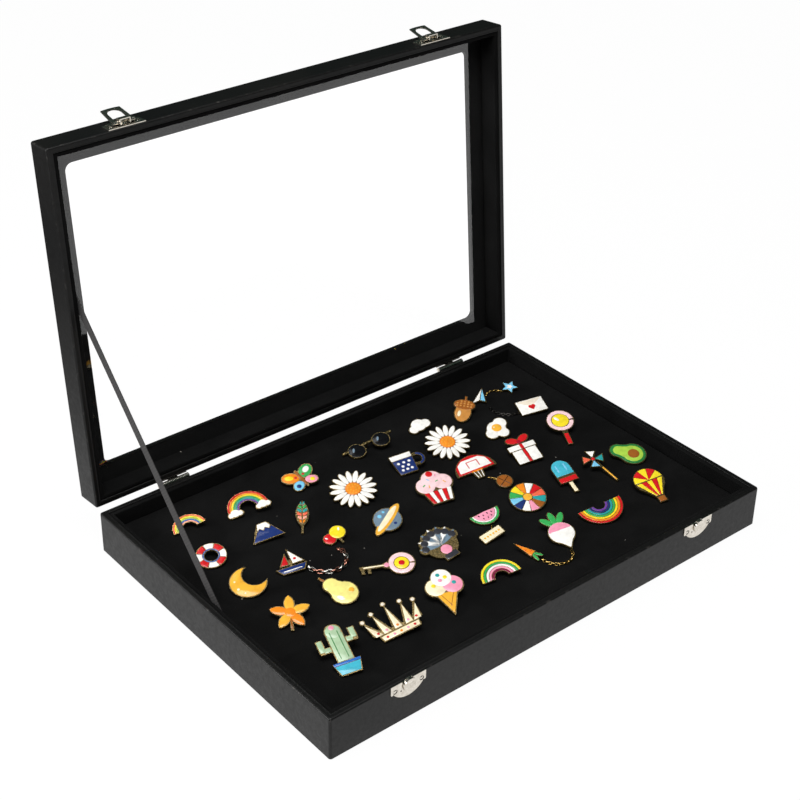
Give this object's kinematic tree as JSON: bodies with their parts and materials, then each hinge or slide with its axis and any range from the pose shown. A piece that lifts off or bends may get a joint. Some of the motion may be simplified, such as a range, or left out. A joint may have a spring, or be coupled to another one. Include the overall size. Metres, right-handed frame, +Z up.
{
  "type": "pin display case",
  "caption": "Shallow hinged case with a glass-topped lid held open by a strap, front latches, and a velvet pad full of enamel pins.",
  "frame": {"origin": "centre of the tray's underside", "axes": "+X along the long side, +Y towards the hinges, +Z up; the latches are on the -Y side"},
  "size_m": [0.35, 0.287, 0.2743],
  "materials": {
    "leatherette": "fine-grained, satin",
    "board": "raw fibreboard",
    "velvet": "short black pile",
    "felt": "black felt",
    "foam": "soft foam",
    "glass": "clear",
    "ribbon": "woven ribbon",
    "gilt": "polished gilt casting",
    "chain": "polished",
    "nickel": "nickel plated"
  },
  "bodies": {
    "base": {"base_back_wall": "board", "base_bottom_panel": "board", "base_front_wall": "board", "base_leatherette": "leatherette", "base_left_wall": "board", "base_liner_back": "velvet", "base_liner_front": "velvet", "base_liner_left": "velvet", "base_liner_right": "velvet", "base_right_wall": "board", "base_underside_felt": "felt", "catch_nails": "nickel", "hinge_base_nails": "nickel", "hinge_pins": "nickel", "left_catch_plate": "nickel", "left_hinge_base_leaf": "nickel", "pad_board": "board", "pad_foam": "foam", "pad_velvet": "velvet", "pin_chains": "chain", "pins_daisies": "gilt", "pins_keepsakes": "gilt", "pins_plants": "gilt", "pins_rainbows": "gilt", "pins_sky": "gilt", "pins_sweets": "gilt", "pins_toys": "gilt", "pins_wings": "gilt", "right_catch_plate": "nickel", "right_hinge_base_leaf": "nickel", "stay_strap": "ribbon", "strap_base_tack": "nickel"},
    "lid": {"hinge_lid_nails": "nickel", "latch_nails": "nickel", "left_hinge_lid_leaf": "nickel", "left_latch_plate": "nickel", "lid_back_wall": "board", "lid_front_wall": "board", "lid_leatherette": "leatherette", "lid_left_wall": "board", "lid_liner_back": "velvet", "lid_liner_front": "velvet", "lid_liner_left": "velvet", "lid_liner_right": "velvet", "lid_right_wall": "board", "lid_top_panel": "board", "right_hinge_lid_leaf": "nickel", "right_latch_plate": "nickel", "strap_lid_tack": "nickel", "window_glass": "glass"},
    "left_lever": {"left_latch_lever": "nickel", "left_latch_pivot": "nickel"},
    "right_lever": {"right_latch_lever": "nickel", "right_latch_pivot": "nickel"}
  },
  "joints": [
    {"name": "lid_hinge", "type": "hinge", "parent": "base", "child": "lid", "pos_m": [0, 0.122, 0.0286], "axis": [1, 0, 0], "range_deg": [0, 94.8], "deforming": ["stay_strap"]},
    {"name": "left_latch", "type": "hinge", "parent": "lid", "child": "left_lever", "pos_m": [-0.1207, 0.14909, 0.27118], "axis": [1, 0, 0], "range_deg": [0, 165]},
    {"name": "right_latch", "type": "hinge", "parent": "lid", "child": "right_lever", "pos_m": [0.1163, 0.14909, 0.27118], "axis": [1, 0, 0], "range_deg": [0, 165]}
  ]
}
